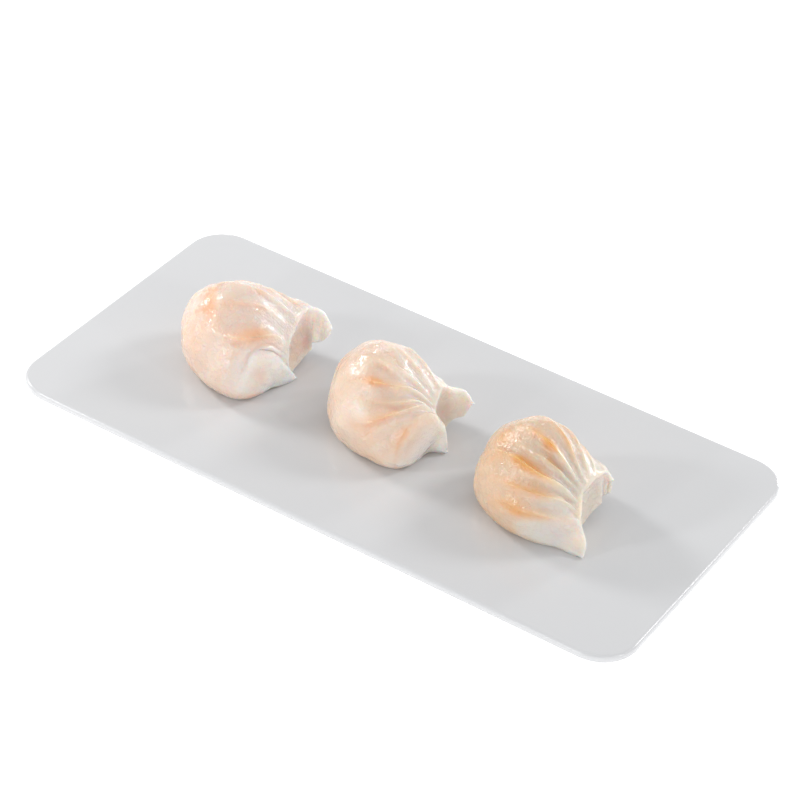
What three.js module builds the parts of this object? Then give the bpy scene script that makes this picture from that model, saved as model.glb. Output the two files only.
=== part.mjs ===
// Three har gow dumplings on a rectangular glazed plate.
// Millimetres, +Z up. The origin is the middle of the plate's underside, +X runs along the plate.
import * as THREE from 'three';
import { mergeVertices } from 'three/addons/utils/BufferGeometryUtils.js';

const PLATE = { length: 245, width: 119, thickness: 3, cornerRadius: 14, edgeRound: 1.2 };
const CORNER_STEPS = 10;
const EDGE_STEPS = 4;

const REST_GAP = 0.2;        // air between a dumpling and the glaze
const SKIN = 1.3;            // thickness of the wrapper in the seam and the ears
const CROWN_AT = 0.45;       // share of the way from seam to belly where the back is highest
const NECK_CURL = 1.25;      // above 1 the skin leaves the seam flat before it rises
const EAR_BOW = 0.8;         // how far an ear bows outwards between its seam and its foot
const FOOT_INSET = 6;        // how far the rounded belly tucks in under itself
const EAR_FOOT_INSET = 0.25; // a bare ear hardly tucks in at all
const EAR_FOOT_SKIN = 1.15;  // thickness of an ear along its lower edge
const SOLE_PULL = 0.5;       // share of the way to the middle of the belly that a sole bends
const SOLE_BEND = 20;        // a sole narrower than this bends less
const MOUTH_DEPTH = 4;       // hollow under the seam, between the two ears
const EAR_FULL = 0.3;        // an ear fuller than this has its inner foot right under the seam
const MOUTH_BEND = 0.35;     // share of the mouth's height where its hollow bends, from either end
const HOLLOW_TOP = 0.75;     // share of the mouth's depth at its upper bend
const HOLLOW_FOOT = 0.35;    // and at its lower bend
const TIP_LENGTH = 0.035;    // share of the seam over which an ear's tip is rounded off
const VALLEY_WIDTH = 0.26;   // share of a pleat's width taken by the valley at its edge
const VALLEY_EDGE = 1.4;     // from 1, a sharp crease, to 2, a soft dip
const NECK_EASE = 0.16;      // share of the way to the belly over which the folds deepen
const EAR_EASE = 0.15;       // share of the seam over which they deepen from an ear's tip
const FOLD_FADE = 0.2;       // share of the way to the belly over which a fold runs out
const NUDGE = 0.02;          // small step along the surface, used to find the way it faces
const JOIN_DISTANCE = 1e-4;

// Steps of the surface mesh round one section, and between one fold and the next.
const STEPS = { back: 14, tuck: 4, sole: 3, mouth: 8, pleat: 6 };

// A fold crosses these places between the seam (0), the belly (1) and the foot (2).
const FOLD_PLACES = [0, 0.3, 0.5, 0.75, 1.1];

// Each dumpling is lofted through ribs, from the tip of its front ear to the tip of its back ear.
// A rib gives: its place along the seam; the seam point beside the middle of the filling; the
// belly as a direction in degrees, a radius and a height; the height of the crown; how full the
// section is (1 holds filling, 0 is a bare ear); and the height of its foot. mouth is a point in
// front of the seam, which is faced by every section, and mouthFoot is how far back from the seam
// the smooth side stands. Past facingEnd the sections no longer turn.
// A fold is a valley pressed along the back: where along the seam it runs at each fold place,
// its depth, how far it reaches towards the belly, and the swell of the pleat in front of it.
const DUMPLINGS = [
  {
    name: 'dumpling_left',
    centre: [-64.3, -4.9],
    mouth: [24.5, 14],
    mouthFoot: -1.1,
    facingEnd: 1,
    ribs: [
      { at: 0, seam: [21.5, 5.5, 1], belly: [16, 22.8, 0.6], crown: 1, full: 0, foot: 0 },
      { at: 0.11, seam: [20.1, 3.4, 6], belly: [-14, 19.6, 2.3], crown: 9, full: 0.35, foot: 0 },
      { at: 0.22, seam: [19.8, 3.4, 11.5], belly: [-52, 23.7, 7], crown: 20.3, full: 0.9, foot: 0 },
      { at: 0.33, seam: [19.1, 4.9, 15.5], belly: [-92, 19.5, 7.3], crown: 26.7, full: 1, foot: 0 },
      { at: 0.44, seam: [18.3, 7.9, 18.5], belly: [-135, 19.2, 8.9], crown: 32.6, full: 1, foot: 0 },
      { at: 0.55, seam: [17.8, 11.4, 21], belly: [-178, 21.4, 12.6], crown: 31.7, full: 1, foot: 0 },
      { at: 0.66, seam: [17.2, 15.9, 22], belly: [-225, 21.8, 12.8], crown: 23.6, full: 1, foot: 0 },
      { at: 0.78, seam: [17.1, 20.8, 20.6], belly: [-268, 19.9, 11.3], crown: 22.3, full: 0.3, foot: 1 },
      { at: 0.9, seam: [20, 24.2, 17.3], belly: [-307, 28.8, 8], crown: 17.8, full: 0.17, foot: 5.2 },
      { at: 1, seam: [24.1, 23.4, 12], belly: [-310, 34.2, 11.2], crown: 12, full: 0, foot: 10.4 },
    ],
    folds: [
      { line: [0.1, 0.195, 0.232, 0.22, 0.225], depth: -0.7, reach: 0.9, swell: -0.7 },
      { line: [0.3, 0.262, 0.285, 0.39, 0.44], depth: 2, reach: 0.6, swell: 0 },
      { line: [0.44, 0.407, 0.414, 0.47, 0.51], depth: 0.6, reach: 0.45, swell: 0 },
      { line: [0.57, 0.5, 0.53, 0.57, 0.6], depth: 1.1, reach: 0.4, swell: 0.5 },
      { line: [0.64, 0.59, 0.6, 0.63, 0.65], depth: 0.9, reach: 0.4, swell: 0.4 },
      { line: [0.7, 0.67, 0.67, 0.69, 0.71], depth: 1, reach: 0.5, swell: 0.5 },
      { line: [0.77, 0.75, 0.75, 0.77, 0.78], depth: 0.9, reach: 0.5, swell: 0.5 },
      { line: [0.86, 0.85, 0.85, 0.86, 0.86], depth: 0.5, reach: 0.6, swell: 0.3 },
    ],
  },
  {
    name: 'dumpling_middle',
    centre: [-4.2, -1.7],
    mouth: [27, 8],
    mouthFoot: -0.9,
    facingEnd: 1,
    ribs: [
      { at: 0, seam: [26.3, -0.8, 1], belly: [-1, 26.2, 0.6], crown: 1, full: 0, foot: 0 },
      { at: 0.11, seam: [26.2, -0.7, 6], belly: [-13, 22.2, 1.6], crown: 9, full: 0.3, foot: 0 },
      { at: 0.22, seam: [25, -0.4, 11], belly: [-46, 27, 4.2], crown: 19.4, full: 0.85, foot: 0 },
      { at: 0.33, seam: [21.1, -0.4, 15.5], belly: [-85, 23.4, 10.5], crown: 25.3, full: 1, foot: 0 },
      { at: 0.44, seam: [20.3, 0.6, 18], belly: [-130, 20.2, 8.3], crown: 31.4, full: 1, foot: 0 },
      { at: 0.55, seam: [19.8, 3.1, 20], belly: [-175, 19.3, 12.5], crown: 31.9, full: 1, foot: 0 },
      { at: 0.66, seam: [19.3, 6.1, 21.5], belly: [-225, 22, 11.6], crown: 26.2, full: 1, foot: 0 },
      { at: 0.78, seam: [20.9, 10.6, 18.4], belly: [-270, 14, 8], crown: 16.2, full: 0.35, foot: 4.8 },
      { at: 0.9, seam: [23.4, 14.2, 16.4], belly: [-317, 24.5, 8], crown: 16.8, full: 0.3, foot: 5.6 },
      { at: 1, seam: [26, 16.2, 10.5], belly: [-322, 30.6, 9.8], crown: 10.5, full: 0, foot: 9.2 },
    ],
    folds: [
      { line: [0.26, 0.245, 0.24, 0.235, 0.225], depth: 1.3, reach: 0.95, swell: 0.4 },
      { line: [0.3, 0.275, 0.28, 0.305, 0.34], depth: 1.3, reach: 0.8, swell: 0.5 },
      { line: [0.33, 0.3, 0.32, 0.38, 0.42], depth: 0.8, reach: 0.55, swell: 0.2 },
      { line: [0.4, 0.36, 0.39, 0.45, 0.5], depth: 1.6, reach: 0.55, swell: 0.5 },
      { line: [0.45, 0.44, 0.485, 0.53, 0.57], depth: 1, reach: 0.45, swell: 0.4 },
      { line: [0.52, 0.565, 0.6, 0.62, 0.64], depth: 1, reach: 0.4, swell: 0.4 },
      { line: [0.62, 0.65, 0.67, 0.69, 0.7], depth: 0.9, reach: 0.4, swell: 0.4 },
      { line: [0.71, 0.73, 0.74, 0.75, 0.76], depth: 0.9, reach: 0.5, swell: 0.4 },
      { line: [0.82, 0.82, 0.82, 0.83, 0.83], depth: 0.5, reach: 0.6, swell: 0.3 },
    ],
  },
  {
    name: 'dumpling_right',
    centre: [58.6, -5.7],
    mouth: [28, -3],
    mouthFoot: 1.2,
    facingEnd: 0.9,
    ribs: [
      { at: 0, seam: [29, -15.5, 0.8], belly: [-28, 32.6, 0.5], crown: 1, full: 0, foot: 0 },
      { at: 0.11, seam: [27.2, -11.8, 5], belly: [-42, 25.3, 2.4], crown: 9, full: 0.35, foot: 0 },
      { at: 0.22, seam: [24.4, -10.6, 10.5], belly: [-68, 23.4, 6], crown: 18.9, full: 0.9, foot: 0 },
      { at: 0.33, seam: [23.3, -9.4, 15], belly: [-102, 21, 8.3], crown: 23.8, full: 1, foot: 0 },
      { at: 0.44, seam: [22.3, -7.7, 18.5], belly: [-140, 20.2, 7.5], crown: 27.9, full: 1, foot: 0 },
      { at: 0.55, seam: [22.1, -5.8, 20.5], belly: [-180, 18.9, 12.4], crown: 32.2, full: 1, foot: 0 },
      { at: 0.66, seam: [22.5, -3.5, 21.3], belly: [-225, 19.4, 10.4], crown: 31, full: 1, foot: 0 },
      { at: 0.78, seam: [22.1, 1.7, 20.9], belly: [-270, 17.2, 8.3], crown: 23.2, full: 0.88, foot: 2.5 },
      { at: 0.9, seam: [22.3, 8.3, 17.7], belly: [-325, 24.2, 7.5], crown: 18.4, full: 0.12, foot: 4 },
      { at: 1, seam: [23, 11.2, 12], belly: [-324, 25.6, 10], crown: 12, full: 0, foot: 9 },
    ],
    folds: [
      { line: [0.2, 0.18, 0.187, 0.24, 0.34], depth: 1.2, reach: 0.85, swell: 0.3 },
      { line: [0.28, 0.24, 0.27, 0.37, 0.44], depth: 0.8, reach: 0.7, swell: 0.4 },
      { line: [0.365, 0.345, 0.425, 0.48, 0.52], depth: 1.8, reach: 0.6, swell: 0.5 },
      { line: [0.44, 0.45, 0.48, 0.53, 0.57], depth: 0.9, reach: 0.35, swell: 0.3 },
      { line: [0.52, 0.525, 0.545, 0.59, 0.62], depth: 1.6, reach: 0.45, swell: 0.5 },
      { line: [0.6, 0.63, 0.64, 0.66, 0.68], depth: 1.1, reach: 0.4, swell: 0.4 },
      { line: [0.68, 0.7, 0.71, 0.73, 0.74], depth: 0.9, reach: 0.45, swell: 0.4 },
      { line: [0.77, 0.78, 0.78, 0.79, 0.8], depth: 0.9, reach: 0.5, swell: 0.4 },
      { line: [0.86, 0.86, 0.86, 0.86, 0.86], depth: 0.5, reach: 0.6, swell: 0.3 },
    ],
  },
];

const CERAMIC = { color: 0xdcdde0, roughness: 0.22, metalness: 0 };
const WRAPPER = { color: 0xe9c6a8, roughness: 0.38, metalness: 0 };

const { lerp, smoothstep, clamp, degToRad } = THREE.MathUtils;

// A smooth line through values given at uneven places.
function through(places, values, place) {
  const last = places.length - 1;
  const x = clamp(place, places[0], places[last]);
  let i = 0;
  while (i < last - 1 && x > places[i + 1]) i += 1;
  const slope = (k) => {
    const before = Math.max(k - 1, 0);
    const after = Math.min(k + 1, last);
    return (values[after] - values[before]) / (places[after] - places[before]);
  };
  const span = places[i + 1] - places[i];
  const u = (x - places[i]) / span;
  const rise = values[i + 1] - values[i];
  const start = slope(i) * span;
  const end = slope(i + 1) * span;
  return values[i] + u * (start + u * (3 * rise - 2 * start - end + u * (start + end - 2 * rise)));
}

// One value of the ribs, at any place along the seam.
function ribValue(shape, at, pick) {
  return through(shape.ribs.map((rib) => rib.at), shape.ribs.map(pick), at);
}

function bellyAt(shape, at) {
  const angle = degToRad(ribValue(shape, at, (rib) => rib.belly[0]));
  const radius = ribValue(shape, at, (rib) => rib.belly[1]);
  const height = ribValue(shape, at, (rib) => rib.belly[2]);
  return new THREE.Vector3(radius * Math.cos(angle), radius * Math.sin(angle), height);
}

// The section at one place along the seam. facing is the way the belly looks there, and back is
// the way from the mouth to the seam.
function sectionAt(shape, at) {
  const seam = new THREE.Vector3(...[0, 1, 2].map((axis) => ribValue(shape, at, (rib) => rib.seam[axis])));
  const turned = Math.min(at, shape.facingEnd);
  const along = bellyAt(shape, turned + NUDGE).sub(bellyAt(shape, turned - NUDGE));
  return {
    seam,
    belly: bellyAt(shape, at),
    facing: new THREE.Vector3(-along.y, along.x, 0).normalize(),
    back: new THREE.Vector3(seam.x - shape.mouth[0], seam.y - shape.mouth[1], 0).normalize(),
    crown: ribValue(shape, at, (rib) => rib.crown),
    full: clamp(ribValue(shape, at, (rib) => rib.full), 0, 1),
    foot: Math.max(0, ribValue(shape, at, (rib) => rib.foot)),
  };
}

// The pleated side. From 0 to 1 it runs from the seam over the crown to the belly, and from
// 1 to 2 it tucks in under the belly down to the foot.
function pleatedSide(shape, at, way) {
  const s = sectionAt(shape, at);
  if (way > 1) {
    const turn = (way - 1) * Math.PI / 2;
    const inset = lerp(EAR_FOOT_INSET, FOOT_INSET, s.full) * (1 - Math.cos(turn));
    const point = s.belly.clone().addScaledVector(s.facing, -inset);
    point.z = lerp(s.belly.z, s.foot * (1 - s.full), Math.sin(turn));
    return point;
  }
  const reach = new THREE.Vector3().subVectors(s.belly, s.seam);
  const bare = s.seam.clone().addScaledVector(reach, way);
  bare.addScaledVector(s.facing, EAR_BOW * Math.sin(Math.PI * way));
  const crownWay = CROWN_AT / (CROWN_AT + (1 - CROWN_AT) * Math.PI / 2);
  const filled = s.seam.clone();
  if (way < crownWay) {
    const climb = way / crownWay;
    filled.addScaledVector(reach, CROWN_AT * climb);
    filled.z = lerp(s.seam.z, s.crown, Math.sin(Math.PI / 2 * climb) ** NECK_CURL);
  } else {
    const fall = (way - crownWay) / (1 - crownWay) * Math.PI / 2;
    filled.addScaledVector(reach, lerp(CROWN_AT, 1, Math.sin(fall)));
    filled.z = lerp(s.belly.z, s.crown, Math.cos(fall));
  }
  return bare.lerp(filled, s.full);
}

// The smooth side, from the inner lip of the seam (0) down the hollow mouth to its foot (1).
function smoothSide(shape, at, way) {
  const s = sectionAt(shape, at);
  const inward = s.facing.clone().multiplyScalar(s.full - 1);
  inward.z = -s.full;
  const lip = s.seam.clone().addScaledVector(inward.normalize(), SKIN);
  const earFoot = pleatedSide(shape, at, 2).addScaledVector(s.facing, -EAR_FOOT_SKIN);
  const mouthFoot = s.seam.clone().addScaledVector(s.back, shape.mouthFoot);
  const foot = earFoot.lerp(mouthFoot, smoothstep(s.full, 0, EAR_FULL));
  foot.z = s.foot;
  const hollow = MOUTH_DEPTH * s.full;
  const high = lip.clone().lerp(foot, MOUTH_BEND).addScaledVector(s.back, HOLLOW_TOP * hollow);
  const low = foot.clone().lerp(lip, MOUTH_BEND).addScaledVector(s.back, HOLLOW_FOOT * hollow);
  return new THREE.CubicBezierCurve3(lip, high, low, foot).getPoint(way);
}

// Folds are counted from 0 at the front tip to folds.length + 1 at the back tip.
function foldPlace(shape, count, way) {
  if (count <= 0) return 0;
  if (count > shape.folds.length) return 1;
  return through(FOLD_PLACES, shape.folds[count - 1].line, Math.min(way, FOLD_PLACES.at(-1)));
}

function seamPlace(shape, pleat, way) {
  const count = Math.floor(pleat);
  return lerp(foldPlace(shape, count, way), foldPlace(shape, count + 1, way), pleat - count);
}

// How far the pleated surface stands out (+) or is pressed in (-) at one place.
function relief(shape, pleat, way) {
  const count = Math.floor(pleat);
  const across = pleat - count;
  const before = shape.folds[count - 1];
  const after = shape.folds[count];
  const at = seamPlace(shape, pleat, way);
  const ease = smoothstep(way, 0, NECK_EASE) * smoothstep(Math.min(at, 1 - at), 0, EAR_EASE);
  const fade = (fold) => 1 - smoothstep(way, fold.reach - FOLD_FADE, fold.reach + FOLD_FADE);
  const strength = (fold) => (fold ? ease * fade(fold) : 0);
  const valley = (share) => Math.exp(-((share / VALLEY_WIDTH) ** VALLEY_EDGE));
  let height = 0;
  if (before) height -= before.depth * strength(before) * valley(across);
  if (after) height -= after.depth * strength(after) * valley(1 - across);
  if (after) height += after.swell * strength(after) * Math.sin(Math.PI * across);
  return height;
}

function pleatedPoint(shape, pleat, way) {
  const at = seamPlace(shape, pleat, way);
  const point = pleatedSide(shape, at, way);
  const height = relief(shape, pleat, way);
  if (height === 0) return point;
  const along = pleatedSide(shape, Math.min(at + NUDGE, 1), way);
  along.sub(pleatedSide(shape, Math.max(at - NUDGE, 0), way));
  const down = pleatedSide(shape, at, way + NUDGE);
  down.sub(pleatedSide(shape, at, Math.max(way - NUDGE, 0)));
  return point.addScaledVector(down.cross(along).normalize(), height);
}

// The sole runs from the outer foot to the inner one, bent towards the middle of the belly.
function solePoint(outerFoot, innerFoot, share) {
  const pull = SOLE_PULL * Math.min(outerFoot.distanceTo(innerFoot) / SOLE_BEND, 1);
  const middle = outerFoot.clone().lerp(innerFoot, 0.5);
  middle.multiply(new THREE.Vector3(1 - pull, 1 - pull, 1));
  return new THREE.QuadraticBezierCurve3(outerFoot, middle, innerFoot).getPoint(share);
}

// One closed ring of points: over the pleated side, under the belly and back up the mouth.
function ring(shape, pleat) {
  const points = [];
  for (let i = 0; i < STEPS.back; i += 1) points.push(pleatedPoint(shape, pleat, i / STEPS.back));
  for (let i = 0; i < STEPS.tuck; i += 1) points.push(pleatedPoint(shape, pleat, 1 + i / STEPS.tuck));
  const outerFoot = pleatedPoint(shape, pleat, 2);
  const top = seamPlace(shape, pleat, 0);
  const bottom = seamPlace(shape, pleat, 2);
  const innerFoot = smoothSide(shape, bottom, 1);
  for (let i = 0; i < STEPS.sole; i += 1) points.push(solePoint(outerFoot, innerFoot, i / STEPS.sole));
  for (let i = STEPS.mouth; i >= 0; i -= 1) {
    const way = i / STEPS.mouth;
    points.push(smoothSide(shape, lerp(top, bottom, way), way));
  }
  roundTip(points, Math.min(top, 1 - top));
  return points;
}

// Near the tip of an ear the ring closes towards its own middle.
function roundTip(points, fromTip) {
  const share = Math.min(fromTip / TIP_LENGTH, 1);
  const size = Math.sqrt(1 - (1 - share) ** 2);
  const middle = new THREE.Vector3();
  points.forEach((point) => middle.addScaledVector(point, 1 / points.length));
  points.forEach((point) => point.lerpVectors(middle, point.clone(), size));
}

function wrapperGeometry(shape) {
  const around = STEPS.back + STEPS.tuck + STEPS.sole + STEPS.mouth + 1;
  const rows = (shape.folds.length + 1) * STEPS.pleat;
  const geometry = new THREE.SphereGeometry(1, around, rows);
  const position = geometry.getAttribute('position');
  for (let row = 0; row <= rows; row += 1) {
    const points = ring(shape, row / STEPS.pleat);
    for (let step = 0; step <= around; step += 1) {
      const { x, y, z } = points[step % around];
      position.setXYZ(row * (around + 1) + step, x, y, z);
    }
  }
  return closed(geometry);
}

// Keep positions only and join the points that coincide, so the surface closes on itself.
function closed(geometry) {
  geometry.deleteAttribute('normal');
  geometry.deleteAttribute('uv');
  const joined = mergeVertices(geometry, JOIN_DISTANCE);
  joined.computeVertexNormals();
  return joined;
}

function dumpling(shape) {
  const mesh = new THREE.Mesh(wrapperGeometry(shape), new THREE.MeshStandardMaterial(WRAPPER));
  mesh.name = shape.name;
  mesh.position.set(shape.centre[0], shape.centre[1], PLATE.thickness + REST_GAP);
  return mesh;
}

function plateOutline() {
  const { length, width, cornerRadius: r } = PLATE;
  const x = length / 2 - r;
  const y = width / 2 - r;
  const outline = new THREE.Shape();
  outline.absarc(x, -y, r, -Math.PI / 2, 0);
  outline.absarc(x, y, r, 0, Math.PI / 2);
  outline.absarc(-x, y, r, Math.PI / 2, Math.PI);
  outline.absarc(-x, -y, r, Math.PI, 1.5 * Math.PI);
  outline.closePath();
  return outline;
}

function plate() {
  const { thickness, edgeRound } = PLATE;
  const geometry = new THREE.ExtrudeGeometry(plateOutline(), {
    depth: thickness - 2 * edgeRound,
    bevelThickness: edgeRound,
    bevelSize: edgeRound,
    bevelOffset: -edgeRound,
    bevelSegments: EDGE_STEPS,
    curveSegments: CORNER_STEPS,
  });
  geometry.translate(0, 0, edgeRound);
  const mesh = new THREE.Mesh(closed(geometry), new THREE.MeshStandardMaterial(CERAMIC));
  mesh.name = 'plate';
  return mesh;
}

const group = new THREE.Group();
group.name = 'har_gow_on_plate';
group.add(plate(), ...DUMPLINGS.map(dumpling));

export default group;
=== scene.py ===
import math

import bpy
import numpy as np
from mathutils import Matrix, Vector


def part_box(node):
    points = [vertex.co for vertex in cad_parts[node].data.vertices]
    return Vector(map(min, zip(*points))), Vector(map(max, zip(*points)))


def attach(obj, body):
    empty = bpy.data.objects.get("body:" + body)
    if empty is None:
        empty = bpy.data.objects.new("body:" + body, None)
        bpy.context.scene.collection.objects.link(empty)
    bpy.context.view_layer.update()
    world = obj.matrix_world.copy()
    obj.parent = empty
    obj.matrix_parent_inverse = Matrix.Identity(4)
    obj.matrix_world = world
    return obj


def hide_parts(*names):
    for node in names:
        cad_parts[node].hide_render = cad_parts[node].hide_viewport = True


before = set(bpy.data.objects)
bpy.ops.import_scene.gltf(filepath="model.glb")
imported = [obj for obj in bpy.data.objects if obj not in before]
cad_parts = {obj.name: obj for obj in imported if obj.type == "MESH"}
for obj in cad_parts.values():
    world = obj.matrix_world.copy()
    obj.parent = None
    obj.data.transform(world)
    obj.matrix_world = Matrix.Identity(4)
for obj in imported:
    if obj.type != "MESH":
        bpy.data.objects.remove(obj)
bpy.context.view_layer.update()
print("frame loaded:", ", ".join(sorted(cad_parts)))

mm = 0.001  # shapes are worked out in millimetres and made in metres

# How every wrapper is folded. Seam is the pinched edge; "at" runs along it from the front ear (0)
# to the back ear (1); "way" runs from the seam (0) over the crown to the belly (1) and foot (2).
wrapper = {
    "skin": 1.3,             # thickness of the dough in the seam and the ears
    "crownAt": 0.45,         # share of the way from seam to belly where the back is highest
    "neckCurl": 1.25,        # above 1 the skin leaves the seam flat before it rises
    "earBow": 0.8,
    "footInset": 6,          # how far the belly tucks in under itself
    "earFootInset": 0.25,
    "earFootSkin": 1.15,
    "mouthDepth": 4,         # hollow between the two ears
    "mouthBend": 0.35,
    "earFull": 0.3,          # an ear fuller than this has its inner foot right under the seam
    "solePull": 0.5,         # share of the way to the middle of the belly that a sole bends
    "soleBend": 20,          # a sole narrower than this bends less
    "hollowTop": 0.75,
    "hollowFoot": 0.35,
    "tipLength": 0.035,      # share of the seam over which an ear's tip is rounded off
    "valleyWidth": 0.26,     # share of a pleat's width taken by the valley at its edge
    "valleyEdge": 1.4,
    "neckEase": 0.16,        # share of the way over which the folds deepen from the seam
    "earEase": 0.15,
    "foldFade": 0.2,
    "nudge": 0.02,           # small step along the surface, used to find the way it faces
    "foldPlaces": [0, 0.3, 0.5, 0.75, 1.1],
    "rows": 34,              # mesh rows for each pleat
    "back": 124, "tuck": 26, "sole": 10, "mouth": 52, "rim": 8,  # mesh columns round a section
    "rimSmooth": 14,         # passes that round the cut edges of the skin
    "rimReach": 9,           # mesh columns that they round at the seam
    "footReach": 5,          # and at the lower edges of the skin
    "reachFade": 4,
}

# How a crease is pressed in, as shares of its own length, width and height.
creaseShape = {
    "height": 0.45,
    "stepsEach": 7,          # steps of its line for each point given
    "reach": 9,              # mm from its line within which it is worked out
    "startFade": 0.25,       # share of its length over which it starts
    "endFade": 0.35,
    "dropWidth": 0.35,       # widths over which a step drops
    "fallWidth": 7,          # widths over which its raised side falls back
    "ditchDepth": 0.3,       # small ditch beside a step
    "ditchAt": 1.2,
    "shadeWidths": 1.5,       # widths over which the filling and painted shade show beside it
    "shadeExtra": 0.5,        # and the mm added to them
    "shadeDrop": 1.6,         # how much less filling and painted shade show on the raised side of a step
}

# Uneven dough, sizes and heights in mm.
unevenDough = {
    "swell": (15, 0.22),
    "swellWay": (0.1, 0.5),  # share of the way over which the swells set in
    "swellInMouth": 0.25,
    "ripple": (6, 0.09),
    "dent": (2.6, 0.025),
    "rippleAtSeam": 0.4,     # share of the ripple's height where no filling lies behind
    "waveCount": 28,
    "waveSpread": (0.7, 1.5),
    "wrinkleCount": 14,
    "wrinklePitch": (22, 70),
    "wrinkleLean": (-5, 5),
    "wrinkleStart": 0.12,    # share of the way over which the neck's lines start and run out
    "wrinkleEnd": (0.3, 0.65),
    "flatTip": 0.2,          # an ear's tip smaller than this share of its size stays even
}

# Where the filling lies close behind the skin, where it shows, and where shade is painted. Pairs are from
# and to.
fillingAndShadePlace = {
    "nearWay": (0.12, 0.5),
    "nearAt": (0.2, 0.3),
    "foldShadeGain": 0.25,        # valleys show more of it and pleats less: painted shade in the valleys and painted light on the pleats
    "foldShadeRange": (-0.35, 0.25),
    "foldShadeWay": (0.1, 0.3),
    "footShadeGain": 0.35,        # painted shade: the foot is painted darker and warmer where the skin folds under
    "footShadeWay": (1.0, 1.3),
    "mouthWay": (0.05, 0.45),
    "mouthEnd": 1.25,
    "mouthFade": 0.6,
    "bareFull": (0.1, 0.7),
    "bareAt": (0.15, 0.24),
}

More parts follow.
